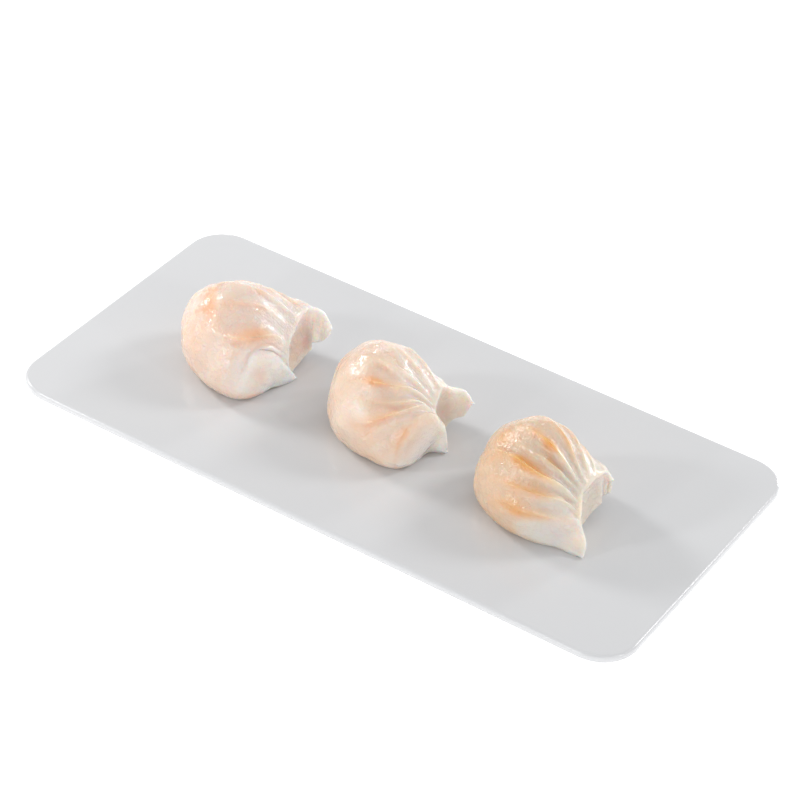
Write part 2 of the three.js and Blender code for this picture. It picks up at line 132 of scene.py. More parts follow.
leftDumpling = {
    "node": "dumpling_left",
    "piece": "wrapperLeft",
    "seed": 3,
    "centre": (-64.3, -4.9),
    "mouth": (24.5, 14),
    "mouthFoot": -1.1,
    "facingEnd": 1,          # past this place the sections no longer turn
    # at, seam point, belly (degrees, radius, height), crown height, how full, height of the foot
    "ribs": [
        (0, (21.5, 5.5, 1), (16, 22.8, 0.6), 1, 0, 0),
        (0.11, (20.1, 3.4, 6), (-14, 19.6, 2.3), 9, 0.35, 0),
        (0.22, (19.8, 3.4, 11.5), (-52, 23.7, 7), 20.3, 0.9, 0),
        (0.33, (19.1, 4.9, 15.5), (-92, 19.5, 7.3), 26.7, 1, 0),
        (0.44, (18.3, 7.9, 18.5), (-135, 19.2, 8.9), 32.6, 1, 0),
        (0.55, (17.8, 11.4, 21), (-178, 21.4, 12.6), 31.7, 1, 0),
        (0.66, (17.2, 15.9, 22), (-225, 21.8, 12.8), 23.6, 1, 0),
        (0.78, (17.1, 20.8, 20.6), (-268, 19.9, 11.3), 22.3, 0.3, 1),
        (0.9, (20, 24.2, 17.3), (-307, 28.8, 8), 17.8, 0.17, 5.2),
        (1, (24.1, 23.4, 12), (-310, 34.2, 11.2), 12, 0, 10.4),
    ],
    # where a fold runs at each fold place, its depth, its reach and the swell before it
    "folds": [
        ((0.1, 0.195, 0.232, 0.22, 0.225), -0.7, 0.9, -0.7),
        ((0.3, 0.262, 0.285, 0.39, 0.44), 2, 0.6, 0),
        ((0.44, 0.407, 0.414, 0.47, 0.51), 0.6, 0.45, 0),
        ((0.57, 0.5, 0.53, 0.57, 0.6), 1.1, 0.4, 0.5),
        ((0.64, 0.59, 0.6, 0.63, 0.65), 0.9, 0.4, 0.4),
        ((0.7, 0.67, 0.67, 0.69, 0.71), 1, 0.5, 0.5),
        ((0.77, 0.75, 0.75, 0.77, 0.78), 0.9, 0.5, 0.5),
        ((0.86, 0.85, 0.85, 0.86, 0.86), 0.5, 0.6, 0.3),
    ],
    # kind, width and height in mm, how much filling and painted shade show along it, (at, way) points foot
    # to neck
    "creases": [
        ("step", 0.45, 1.5, 0.3, [(0.239, 1.48), (0.222, 0.94), (0.22, 0.76), (0.224, 0.64),
                                 (0.23, 0.55), (0.23, 0.39), (0.22, 0.31), (0.205, 0.23),
                                 (0.19, 0.12), (0.149, 0.02)]),
        ("ridge", 0.55, 0.45, -0.1, [(0.34, 0.76), (0.324, 0.7), (0.308, 0.63), (0.284, 0.61),
                                     (0.26, 0.59), (0.242, 0.55), (0.233, 0.49), (0.232, 0.42)]),
        ("step", 0.4, 0.7, 0.0, [(0.55, 0.5), (0.544, 0.46), (0.529, 0.38), (0.508, 0.32),
                                 (0.482, 0.27), (0.471, 0.22), (0.486, 0.16), (0.528, 0.1),
                                 (0.539, 0.06)]),
        ("groove", 0.7, 0.5, 0.35, [(0.44, 0.58), (0.423, 0.52), (0.409, 0.47), (0.395, 0.35),
                                    (0.403, 0.22), (0.459, 0.11), (0.489, 0.04)]),
        ("groove", 1.6, 0.8, 0.8, [(0.53, 0.57), (0.507, 0.58), (0.465, 0.58), (0.435, 0.58),
                                   (0.409, 0.56)]),
        ("groove", 1.1, 0.5, 0.6, [(0.46, 0.74), (0.444, 0.7), (0.429, 0.63), (0.412, 0.57),
                                   (0.398, 0.5)]),
        ("groove", 2.2, 0.5, 0.15, [(0.32, 0.54), (0.305, 0.5), (0.278, 0.42), (0.255, 0.33),
                                   (0.261, 0.21)]),
        ("groove", 0.9, 0.6, 0.5, [(0.579, 0.3), (0.616, 0.23), (0.638, 0.14), (0.656, 0.05)]),
        ("groove", 0.8, 0.4, 0.2, [(0.698, 0.35), (0.715, 0.18), (0.737, 0.02)]),
        ("ridge", 0.7, 0.25, 0.0, [(0.36, 0.56), (0.354, 0.48), (0.324, 0.36), (0.313, 0.21)]),
    ],
    # at, way, radius and height in mm, how much filling shows (the lump at the foot paints shade)
    "lumps": [
        (0.467, 0.667, 2.6, 0.5, -0.1),
        (0.449, 0.49, 3.0, 0.7, -0.3),
        (0.181, 0.742, 4.2, -0.2, 0.5),
        (0.418, 0.806, 4.5, 0.0, 0.3),
        (0.397, 0.621, 3.0, 0.0, 0.3),
        (0.271, 0.371, 4.5, 0.0, 0.25),
        (0.293, 0.452, 4.5, 0.0, 0.15),
        (0.49, 0.6, 4.5, 0.0, 0.4),
        (0.494, 0.242, 2.5, 0.0, 0.4),
        # painted shade: this lump darkens and warms the tucked foot under the front petal
        (0.18, 1.15, 4.0, 0.0, 0.35),
        (0.29, 0.87, 4.5, 0.3, 0.1),
        (0.34, 1.3, 5.0, 0.2, 0.0),
    ],
    "wrinkle": 0.02,
    "mouthNear": 0.7,
    "mouthShows": 0.3,
    "colours": {
        "bare": (0.93, 0.905, 0.88),
        "pale": (0.83, 0.775, 0.735),
        "skin": (0.82, 0.65, 0.54),
        "filling": (0.86, 0.58, 0.42),
        "deep": (0.86, 0.52, 0.33),
    },
}

middleDumpling = {
    "node": "dumpling_middle",
    "piece": "wrapperMiddle",
    "seed": 11,
    "centre": (-4.2, -1.7),
    "mouth": (27, 8),
    "mouthFoot": -0.9,
    "facingEnd": 1,
    "ribs": [
        (0, (26.3, -0.8, 1), (-1, 26.2, 0.6), 1, 0, 0),
        (0.11, (26.2, -0.7, 6), (-13, 22.2, 1.6), 9, 0.3, 0),
        (0.22, (25, -0.4, 11), (-46, 27, 4.2), 19.4, 0.85, 0),
        (0.33, (21.1, -0.4, 15.5), (-85, 23.4, 10.5), 25.3, 1, 0),
        (0.44, (20.3, 0.6, 18), (-130, 20.2, 8.3), 31.4, 1, 0),
        (0.55, (19.8, 3.1, 20), (-175, 19.3, 12.5), 31.9, 1, 0),
        (0.66, (19.3, 6.1, 21.5), (-225, 22, 11.6), 26.2, 1, 0),
        (0.78, (20.9, 10.6, 18.4), (-270, 14, 8), 16.2, 0.35, 4.8),
        (0.9, (23.4, 14.2, 16.4), (-317, 24.5, 8), 16.8, 0.3, 5.6),
        (1, (26, 16.2, 10.5), (-322, 30.6, 9.8), 10.5, 0, 9.2),
    ],
    "folds": [
        ((0.26, 0.245, 0.24, 0.235, 0.225), 1.3, 0.95, 0.4),
        ((0.3, 0.275, 0.28, 0.305, 0.34), 1.3, 0.8, 0.5),
        ((0.33, 0.3, 0.32, 0.38, 0.42), 0.8, 0.55, 0.2),
        ((0.4, 0.36, 0.39, 0.45, 0.5), 1.6, 0.55, 0.5),
        ((0.45, 0.44, 0.485, 0.53, 0.57), 1, 0.45, 0.4),
        ((0.52, 0.565, 0.6, 0.62, 0.64), 1, 0.4, 0.4),
        ((0.62, 0.65, 0.67, 0.69, 0.7), 0.9, 0.4, 0.4),
        ((0.71, 0.73, 0.74, 0.75, 0.76), 0.9, 0.5, 0.4),
        ((0.82, 0.82, 0.82, 0.83, 0.83), 0.5, 0.6, 0.3),
    ],
    "creases": [
        ("groove", 0.9, 0.8, 0.35, [(0.45, 0.74), (0.432, 0.68), (0.418, 0.62), (0.407, 0.55),
                                   (0.391, 0.5), (0.372, 0.45), (0.36, 0.38), (0.353, 0.3),
                                   (0.35, 0.21)]),
        ("groove", 1.2, 0.5, 0.4, [(0.377, 0.69), (0.357, 0.63), (0.336, 0.58), (0.312, 0.51),
                                   (0.286, 0.45), (0.267, 0.37)]),
        ("groove", 1.1, 0.6, 0.4, [(0.361, 0.93), (0.335, 0.88), (0.312, 0.82), (0.295, 0.73),
                                   (0.287, 0.62), (0.277, 0.52), (0.264, 0.41)]),
        ("step", 0.5, 0.6, 0.0, [(0.337, 1.53), (0.311, 1.02), (0.298, 0.9), (0.291, 0.79),
                                 (0.282, 0.7), (0.273, 0.6), (0.262, 0.5), (0.258, 0.37),
                                 (0.29, 0.15)]),
        ("step", 0.45, 1.5, 0.4, [(0.21, 1.5), (0.219, 1.2), (0.224, 0.9), (0.228, 0.77),
                                 (0.23, 0.66), (0.232, 0.55), (0.234, 0.45), (0.246, 0.29)]),
        ("groove", 2.0, 0.4, 0.3, [(0.247, 1.2), (0.249, 0.86), (0.25, 0.75), (0.248, 0.62),
                                   (0.246, 0.48)]),
        ("ridge", 0.45, 0.4, -0.1, [(0.574, 0.41), (0.547, 0.33), (0.517, 0.27), (0.495, 0.22),
                                    (0.496, 0.18), (0.484, 0.15)]),
        ("ridge", 0.45, 0.35, -0.1, [(0.646, 0.34), (0.619, 0.26), (0.592, 0.2), (0.567, 0.15),
                                     (0.551, 0.12)]),
        ("ridge", 0.45, 0.35, -0.1, [(0.448, 0.35), (0.425, 0.31), (0.403, 0.27), (0.373, 0.25)]),
        ("ridge", 0.4, 0.3, -0.1, [(0.425, 0.27), (0.432, 0.21), (0.44, 0.17), (0.475, 0.12)]),
        ("groove", 0.6, 0.5, 0.3, [(0.546, 0.46), (0.509, 0.35), (0.47, 0.27), (0.445, 0.21)]),
        ("groove", 0.6, 0.45, 0.25, [(0.61, 0.33), (0.575, 0.24), (0.538, 0.17), (0.524, 0.13)]),
        ("groove", 0.7, 0.45, 0.4, [(0.457, 0.47), (0.432, 0.38), (0.398, 0.33), (0.382, 0.27)]),
    ],
    "lumps": [
        (0.339, 0.713, 3.2, 0.8, -0.45),
        (0.365, 0.525, 2.6, 0.4, -0.3),
        (0.45, 0.8, 5.0, 0.3, 0.1),
        (0.253, 0.71, 5.0, -0.2, 0.12),
        (0.39, 0.48, 3.2, 0.0, 0.6),
    ],
    "wrinkle": 0.015,
    "mouthNear": 0.4,
    "mouthShows": 0.15,
    "colours": {
        "bare": (0.93, 0.905, 0.87),
        "pale": (0.84, 0.785, 0.725),
        "skin": (0.825, 0.665, 0.54),
        "filling": (0.80, 0.525, 0.345),
        "deep": (0.82, 0.44, 0.22),
    },
}

rightDumpling = {
    "node": "dumpling_right",
    "piece": "wrapperRight",
    "seed": 23,
    "centre": (58.6, -5.7),
    "mouth": (28, -3),
    "mouthFoot": 1.2,
    "facingEnd": 0.9,
    "ribs": [
        (0, (29, -15.5, 0.8), (-28, 32.6, 0.5), 1, 0, 0),
        (0.11, (27.2, -11.8, 5), (-42, 25.3, 2.4), 9, 0.35, 0),
        (0.22, (24.4, -10.6, 10.5), (-68, 23.4, 6), 18.9, 0.9, 0),
        (0.33, (23.3, -9.4, 15), (-102, 21, 8.3), 23.8, 1, 0),
        (0.44, (22.3, -7.7, 18.5), (-140, 20.2, 7.5), 27.9, 1, 0),
        (0.55, (22.1, -5.8, 20.5), (-180, 18.9, 12.4), 32.2, 1, 0),
        (0.66, (22.5, -3.5, 21.3), (-225, 19.4, 10.4), 31, 1, 0),
        (0.78, (22.1, 1.7, 20.9), (-270, 17.2, 8.3), 23.2, 0.88, 2.5),
        (0.9, (22.3, 8.3, 17.7), (-325, 24.2, 7.5), 18.4, 0.12, 4),
        (1, (23, 11.2, 12), (-324, 25.6, 10), 12, 0, 9),
    ],
    "folds": [
        ((0.2, 0.18, 0.187, 0.24, 0.34), 1.2, 0.85, 0.3),
        ((0.28, 0.24, 0.27, 0.37, 0.44), 0.8, 0.7, 0.4),
        ((0.365, 0.345, 0.425, 0.48, 0.52), 1.8, 0.6, 0.5),
        ((0.44, 0.45, 0.48, 0.53, 0.57), 0.9, 0.35, 0.3),
        ((0.52, 0.525, 0.545, 0.59, 0.62), 1.6, 0.45, 0.5),
        ((0.6, 0.63, 0.64, 0.66, 0.68), 1.1, 0.4, 0.4),
        ((0.68, 0.7, 0.71, 0.73, 0.74), 0.9, 0.45, 0.4),
        ((0.77, 0.78, 0.78, 0.79, 0.8), 0.9, 0.5, 0.4),
        ((0.86, 0.86, 0.86, 0.86, 0.86), 0.5, 0.6, 0.3),
    ],
    "creases": [
        ("groove", 1.4, 1.0, 0.3, [(0.465, 0.66), (0.435, 0.58), (0.411, 0.5), (0.391, 0.44),
                                   (0.374, 0.38), (0.357, 0.31), (0.364, 0.22), (0.39, 0.14)]),
        ("groove", 1.2, 0.8, 0.3, [(0.535, 0.49), (0.53, 0.43), (0.52, 0.35), (0.509, 0.28),
                                   (0.502, 0.22), (0.504, 0.17), (0.515, 0.11)]),
        ("ridge", 0.5, 0.5, -0.1, [(0.509, 0.42), (0.5, 0.35), (0.495, 0.29), (0.499, 0.22),
                                   (0.494, 0.17), (0.495, 0.12)]),
        ("groove", 0.7, 0.5, 0.5, [(0.46, 0.29), (0.46, 0.24), (0.464, 0.18), (0.482, 0.14)]),
        ("ridge", 0.5, 0.5, -0.1, [(0.453, 0.32), (0.439, 0.29), (0.424, 0.25), (0.431, 0.2),
                                   (0.473, 0.13)]),
        ("ridge", 0.45, 0.35, -0.1, [(0.621, 0.4), (0.608, 0.33), (0.601, 0.26), (0.601, 0.2)]),
        ("groove", 0.7, 0.5, 0.4, [(0.647, 0.39), (0.629, 0.29), (0.616, 0.21), (0.628, 0.15),
                                   (0.646, 0.1)]),
        ("ridge", 0.6, 0.4, -0.1, [(0.675, 0.44), (0.69, 0.4), (0.708, 0.35), (0.716, 0.29)]),
        ("ridge", 0.6, 0.4, -0.1, [(0.782, 0.38), (0.795, 0.33), (0.814, 0.26), (0.835, 0.1)]),
        ("ridge", 0.6, 0.4, -0.1, [(0.654, 0.18), (0.677, 0.15), (0.712, 0.11), (0.747, 0.05)]),
        ("groove", 0.9, 0.4, 0.4, [(0.347, 0.88), (0.308, 0.85), (0.269, 0.82), (0.234, 0.77),
                                   (0.195, 0.61), (0.184, 0.41)]),
        ("groove", 1.1, 0.4, 0.5, [(0.365, 0.73), (0.341, 0.66), (0.317, 0.6), (0.285, 0.53),
                                   (0.254, 0.4), (0.288, 0.18)]),
        ("ridge", 0.5, 0.35, -0.1, [(0.253, 1.33), (0.228, 1.17), (0.195, 1), (0.163, 0.83),
                                    (0.15, 0.66)]),
        ("ridge", 0.5, 0.25, -0.1, [(0.265, 0.98), (0.232, 0.91), (0.199, 0.78), (0.179, 0.64)]),
        ("ridge", 0.6, 0.3, -0.1, [(0.341, 0.76), (0.314, 0.69), (0.285, 0.63), (0.262, 0.55)]),
    ],
    "lumps": [
        (0.4, 0.7, 4.0, 0.3, 0.1),
        (0.3, 0.76, 3.2, -0.2, 0.3),
        (0.272, 0.726, 3.6, 0.0, 0.4),
        (0.503, 0.605, 4.5, 0.1, 0.75),
        (0.336, 0.903, 4.0, 0.0, 0.25),
        (0.48, 0.4, 3.2, 0.3, -0.2),
        (0.406, 0.452, 3.0, 0.0, 0.6),
        (0.38, 0.395, 3.0, 0.0, 0.5),
        (0.51, 0.28, 2.6, 0.0, 0.6),
    ],
    "wrinkle": 0.015,
    "mouthNear": 0.15,
    "mouthShows": 0.0,
    # painted shade: these colours are darker than the other dumplings', partly for light falling off
    # towards the right; the filling here is also more orange
    "colours": {
        "bare": (0.775, 0.735, 0.69),
        "pale": (0.75, 0.69, 0.61),
        "skin": (0.75, 0.56, 0.40),
        "filling": (0.79, 0.47, 0.25),
        "deep": (0.70, 0.36, 0.10),
    },
}


def through(places, values, place):
    # smooth line through values given at uneven places
    places = np.asarray(places, float)
    values = np.asarray(values, float)
    x = np.clip(place, places[0], places[-1])
    step = np.searchsorted(places[1:-1], x, side="left")
    index = np.arange(len(places))
    before = np.maximum(index - 1, 0)
    after = np.minimum(index + 1, len(places) - 1)
    wide = (-1,) + (1,) * (values.ndim - 1)
    slopes = (values[after] - values[before]) / (places[after] - places[before]).reshape(wide)
    span = places[step + 1] - places[step]
    u = (x - places[step]) / span
    if values.ndim > 1:
        span = span[..., None]
        u = u[..., None]
    rise = values[step + 1] - values[step]
    start = slopes[step] * span
    end = slopes[step + 1] * span
    return values[step] + u * (start + u * (3 * rise - 2 * start - end + u * (start + end - 2 * rise)))


def smooth(x, low, high):
    u = np.clip((x - low) / (high - low), 0, 1)
    return u * u * (3 - 2 * u)


def unit(vectors):
    return vectors / np.maximum(np.linalg.norm(vectors, axis=-1, keepdims=True), 1e-12)


def ribValue(shape, at, column):
    return through([rib[0] for rib in shape["ribs"]], [rib[column] for rib in shape["ribs"]], at)


def bellyAt(shape, at):
    angle, radius, height = np.moveaxis(ribValue(shape, at, 2), -1, 0)
    angle = np.radians(angle)
    return np.stack([radius * np.cos(angle), radius * np.sin(angle), height], -1)


def sectionAt(shape, at):
    # the section at one place along the seam; facing is the way its belly looks
    nudge = wrapper["nudge"]
    seam = ribValue(shape, at, 1)
    turned = np.minimum(at, shape["facingEnd"])
    along = bellyAt(shape, turned + nudge) - bellyAt(shape, turned - nudge)
    zero = np.zeros_like(along[..., 0])
    mouth = shape["mouth"]
    return {
        "seam": seam,
        "belly": bellyAt(shape, at),
        "facing": unit(np.stack([-along[..., 1], along[..., 0], zero], -1)),
        "back": unit(np.stack([seam[..., 0] - mouth[0], seam[..., 1] - mouth[1], zero], -1)),
        "crown": ribValue(shape, at, 3),
        "full": np.clip(ribValue(shape, at, 4), 0, 1),
        "foot": np.maximum(0, ribValue(shape, at, 5)),
    }


def pleatedSide(shape, at, way):
    at, way = np.broadcast_arrays(np.asarray(at, float), np.asarray(way, float))
    s = sectionAt(shape, at)
    full = s["full"][..., None]
    turn = np.clip(way - 1, 0, 1) * np.pi / 2
    deep = wrapper["earFootInset"] + (wrapper["footInset"] - wrapper["earFootInset"]) * s["full"]
    tuck = s["belly"] - s["facing"] * (deep * (1 - np.cos(turn)))[..., None]
    tuck[..., 2] = s["belly"][..., 2] + (s["foot"] * (1 - s["full"]) - s["belly"][..., 2]) * np.sin(turn)
    over = np.minimum(way, 1)
    reach = s["belly"] - s["seam"]
    bare = s["seam"] + reach * over[..., None]
    bare = bare + s["facing"] * (wrapper["earBow"] * np.sin(np.pi * over))[..., None]
    crownAt = wrapper["crownAt"]
    crownWay = crownAt / (crownAt + (1 - crownAt) * np.pi / 2)
    climb = np.clip(over / crownWay, 0, 1)
    fall = np.clip((over - crownWay) / (1 - crownWay), 0, 1) * np.pi / 2
    climbing = over < crownWay
    share = np.where(climbing, crownAt * climb, crownAt + (1 - crownAt) * np.sin(fall))
    filled = s["seam"] + reach * share[..., None]
    rise = s["crown"] - s["seam"][..., 2]
    drop = s["crown"] - s["belly"][..., 2]
    up = s["seam"][..., 2] + rise * np.sin(np.pi / 2 * climb) ** wrapper["neckCurl"]
    filled[..., 2] = np.where(climbing, up, s["belly"][..., 2] + drop * np.cos(fall))
    return np.where((way > 1)[..., None], tuck, bare + (filled - bare) * full)


def smoothSide(shape, at, way):
    at, way = np.broadcast_arrays(np.asarray(at, float), np.asarray(way, float))
    s = sectionAt(shape, at)
    full = s["full"][..., None]
    inward = s["facing"] * (full - 1)
    inward[..., 2] = -s["full"]
    lip = s["seam"] + unit(inward) * wrapper["skin"]
    earFoot = pleatedSide(shape, at, np.full(at.shape, 2.0)) - s["facing"] * wrapper["earFootSkin"]
    under = smooth(s["full"], 0, wrapper["earFull"])[..., None]
    foot = earFoot + (s["seam"] + s["back"] * shape["mouthFoot"] - earFoot) * under
    foot[..., 2] = s["foot"]
    hollow = s["back"] * wrapper["mouthDepth"] * full
    high = lip + (foot - lip) * wrapper["mouthBend"] + hollow * wrapper["hollowTop"]
    low = foot + (lip - foot) * wrapper["mouthBend"] + hollow * wrapper["hollowFoot"]
    w = way[..., None]
    return lip * (1 - w) ** 3 + 3 * high * w * (1 - w) ** 2 + 3 * low * w * w * (1 - w) + foot * w ** 3


def seamPlace(shape, pleat, way):
    # where a pleat, counted from the front tip, lies along the seam
    pleat, way = np.broadcast_arrays(np.asarray(pleat, float), np.asarray(way, float))
    places = wrapper["foldPlaces"]
    lines = [through(places, fold[0], np.minimum(way, places[-1])) for fold in shape["folds"]]
    lines = np.stack([np.zeros_like(way)] + lines + [np.ones_like(way)])
    last = len(shape["folds"]) + 1
    count = np.clip(np.floor(pleat).astype(int), 0, last)
    here = np.take_along_axis(lines, count[None], 0)[0]
    there = np.take_along_axis(lines, np.minimum(count + 1, last)[None], 0)[0]
    return here + (there - here) * (pleat - count)


def foldRelief(shape, pleat, way):
    # how far the pleats stand out (+) or are pressed in (-)
    pleat, way = np.broadcast_arrays(np.asarray(pleat, float), np.asarray(way, float))
    at = seamPlace(shape, pleat, way)
    ease = smooth(way, 0, wrapper["neckEase"]) * smooth(np.minimum(at, 1 - at), 0, wrapper["earEase"])
    count = np.floor(pleat).astype(int)
    across = pleat - count
    depth, reach, swell = (
        np.array([0] + [fold[column] for fold in shape["folds"]] + [0, 0], float) for column in (1, 2, 3))
    reach = np.where(reach == 0, 1, reach)
    fade = wrapper["foldFade"]

    def strength(index):
        return ease * (1 - smooth(way, reach[index] - fade, reach[index] + fade))

    def valley(share):
        return np.exp(-(np.abs(share) / wrapper["valleyWidth"]) ** wrapper["valleyEdge"])

    before = depth[count] * strength(count) * valley(across)
    after = depth[count + 1] * strength(count + 1) * valley(1 - across)
    return swell[count + 1] * strength(count + 1) * np.sin(np.pi * across) - before - after


def waves(points, size, seed):
    # smooth uneven field, mostly -2 to 2, of plain waves in random directions
    draw = np.random.default_rng(seed)
    count = unevenDough["waveCount"]
    field = np.zeros(points.shape[:-1])
    for _ in range(count):
        direction = unit(draw.normal(size=3))
        length = size * draw.uniform(*unevenDough["waveSpread"])
        field += np.sin(points @ direction * (2 * np.pi / length) + draw.uniform(0, 2 * np.pi))
    return field / math.sqrt(count / 2)


def neckWrinkles(at, way, seed):
    # fine lines that run down from the pinched neck
    draw = np.random.default_rng(seed)
    count = unevenDough["wrinkleCount"]
    field = np.zeros_like(at)
    for _ in range(count):
        pitch = draw.uniform(*unevenDough["wrinklePitch"])
        lean = draw.uniform(*unevenDough["wrinkleLean"])
        field += np.sin(2 * np.pi * (pitch * at + lean * way + draw.uniform(0, 1)))
    return field / math.sqrt(count / 2)


def gridNormals(grid):
    across = np.gradient(grid, axis=0)
    around = np.roll(grid, -1, 1) - np.roll(grid, 1, 1)
    return unit(np.cross(around, across))


def creaseField(shape, crease, base, normals):
    # relief of one crease in mm, and how much filling and painted shade show along it
    kind, width, height, showAndShade, points = crease
    points = np.array(points)
    knots = np.linspace(0, 1, len(points))
    steps = np.linspace(0, 1, creaseShape["stepsEach"] * len(points))
    path = pleatedSide(shape, through(knots, points[:, 0], steps), through(knots, points[:, 1], steps))
    halfSize = np.ptp(path, axis=0).max() / 2 + creaseShape["reach"]
    near = np.flatnonzero((np.abs(base - path.mean(0)) < halfSize).all(-1))
    spots = base[near]
    start = path[:-1]
    leg = path[1:] - path[:-1]
    share = np.einsum("psk,sk->ps", spots[:, None] - start, leg) / (leg ** 2).sum(-1)
    share = np.clip(share, 0, 1)
    gap = spots[:, None] - start - leg * share[..., None]
    distance = np.linalg.norm(gap, axis=-1)
    closest = distance.argmin(1)
    pick = np.arange(len(spots))
    distance = distance[pick, closest]
    run = (closest + share[pick, closest]) / len(leg)
    front = np.einsum("pk,pk->p", np.cross(normals[near], unit(leg)[closest]), gap[pick, closest])
    taper = smooth(run, 0, creaseShape["startFade"]) * smooth(1 - run, 0, creaseShape["endFade"])
    fillingShadeReach = width * creaseShape["shadeWidths"] + creaseShape["shadeExtra"]
    fillingShade = showAndShade * np.exp(-(distance / fillingShadeReach) ** 2)
    if kind == "ridge":
        relief = height * np.exp(-(distance / width) ** 2)
    elif kind == "groove":
        relief = -height * np.exp(-(distance / width) ** 2)
    else:  # step: the front pleat lies over the one behind it, and filling with painted shade shows beside it
        signed = np.where(front < 0, distance, -distance)
        edge = 1 / (1 + np.exp(-np.clip(signed / (width * creaseShape["dropWidth"]), -40, 40)))
        raised = edge * np.exp(-np.maximum(signed, 0) / (width * creaseShape["fallWidth"]))
        ditch = creaseShape["ditchDepth"] * np.exp(-(signed / width + creaseShape["ditchAt"]) ** 2)
        relief = height * (raised - ditch)
        fillingShade *= 1 - creaseShape["shadeDrop"] * edge
    reliefField = np.zeros(len(base))
    fillingShadeField = np.zeros(len(base))
    reliefField[near] = relief * taper
    fillingShadeField[near] = fillingShade * taper
    return reliefField, fillingShadeField


def wrapperGrid(shape):
    # closed grid of points, one row for each section from ear tip to ear tip
    rows = (len(shape["folds"]) + 1) * wrapper["rows"]
    pleat = np.linspace(0, len(shape["folds"]) + 1, rows + 1)[:, None]
    backWay = np.arange(wrapper["back"]) / wrapper["back"]
    tuckWay = 1 + np.arange(wrapper["tuck"] + 1) / wrapper["tuck"]
    way = np.concatenate([backWay, tuckWay])[None]
    at = seamPlace(shape, pleat, way)
    outer = pleatedSide(shape, at, way)
    nudge = wrapper["nudge"]
    ahead = pleatedSide(shape, np.minimum(at + nudge, 1), way)
    along = ahead - pleatedSide(shape, np.maximum(at - nudge, 0), way)
    down = pleatedSide(shape, at, way + nudge) - pleatedSide(shape, at, np.maximum(way - nudge, 0))
    outer = outer + unit(np.cross(down, along)) * foldRelief(shape, pleat, way)[..., None]
    top = seamPlace(shape, pleat, 0.0)
    bottom = seamPlace(shape, pleat, 2.0)
    innerFoot = smoothSide(shape, bottom, 1.0)
    straight = innerFoot - outer[:, -1:]
    wide = np.minimum(np.linalg.norm(straight, axis=-1) / wrapper["soleBend"], 1)[..., None]
    middle = (innerFoot + outer[:, -1:]) / 2
    bend = -middle * wrapper["solePull"] * wide
    bend[..., 2] = 0
    share = (np.arange(1, wrapper["sole"]) / wrapper["sole"])[None, :, None]
    sole = outer[:, -1:] + straight * share + bend * 2 * share * (1 - share)
    mouthWay = np.arange(wrapper["mouth"], -1, -1)[None] / wrapper["mouth"]
    mouthAt = top + (bottom - top) * mouthWay
    mouth = smoothSide(shape, mouthAt, mouthWay)
    share = (np.arange(1, wrapper["rim"]) / wrapper["rim"])[None, :, None]
    rim = mouth[:, -1:] + (outer[:, :1] - mouth[:, -1:]) * share
    grid = np.concatenate([outer, sole, mouth, rim], 1)
    columns = {
        "outer": slice(0, outer.shape[1]),
        "sole": slice(outer.shape[1], outer.shape[1] + sole.shape[1]),
        "mouth": slice(outer.shape[1] + sole.shape[1], grid.shape[1] - rim.shape[1]),
        "rim": slice(grid.shape[1] - rim.shape[1], grid.shape[1]),
    }
    wayAll = np.concatenate([
        np.broadcast_to(way, outer.shape[:2]),
        np.full(sole.shape[:2], 2.0),
        np.broadcast_to(mouthWay, mouth.shape[:2]),
        np.zeros(rim.shape[:2]),
    ], 1)
    atAll = np.concatenate([
        at,
        np.broadcast_to(bottom, sole.shape[:2]),
        mouthAt,
        np.broadcast_to(top, rim.shape[:2]),
    ], 1)
    fromTip = np.minimum(np.minimum(top, 1 - top) / wrapper["tipLength"], 1)
    size = np.sqrt(1 - (1 - fromTip) ** 2)
    middle = grid.mean(1, keepdims=True)
    grid = middle + (grid - middle) * size[..., None]
    return grid, atAll, wayAll, columns, size


def roundEdges(grid, columns):
    # rounds the rim of the seam and the lower edge of the ears
    count = grid.shape[1]
    weight = np.zeros(count)
    edges = [
        ((columns["rim"].start + count) / 2, wrapper["rimReach"]),
        (columns["sole"].start, wrapper["footReach"]),
        (columns["mouth"].start, wrapper["footReach"]),
    ]
    for middle, reach in edges:
        gap = np.abs((np.arange(count) - middle + count / 2) % count - count / 2)
        weight = np.maximum(weight, smooth(reach - gap, 0, wrapper["reachFade"]))
    for _ in range(wrapper["rimSmooth"]):
        pulled = (np.roll(grid, 1, 1) + np.roll(grid, -1, 1)) / 2
        grid = grid + (pulled - grid) * weight[None, :, None]
    return grid


def unevenHeight(shape, grid, at, way, isOuter, full):
    # slow swells over the filling, small dents, and fine lines that run down from the neck
    seed = shape["seed"]
    belly = np.where(isOuter, smooth(way, *unevenDough["swellWay"]), unevenDough["swellInMouth"])
    atSeam = unevenDough["rippleAtSeam"]
    swellSize, swellHeight = unevenDough["swell"]
    rippleSize, rippleHeight = unevenDough["ripple"]
    dentSize, dentHeight = unevenDough["dent"]
    height = waves(grid, swellSize, seed) * swellHeight * belly
    height += waves(grid, rippleSize, seed + 1) * rippleHeight * (atSeam + (1 - atSeam) * belly)
    height += waves(grid, dentSize, seed + 2) * dentHeight
    lines = neckWrinkles(at, way, seed + 3)
    runOut = 1 - smooth(way, *unevenDough["wrinkleEnd"])
    neckShare = smooth(way, 0, unevenDough["wrinkleStart"]) * runOut * full
    return height + np.where(isOuter, lines * shape["wrinkle"] * neckShare, 0)


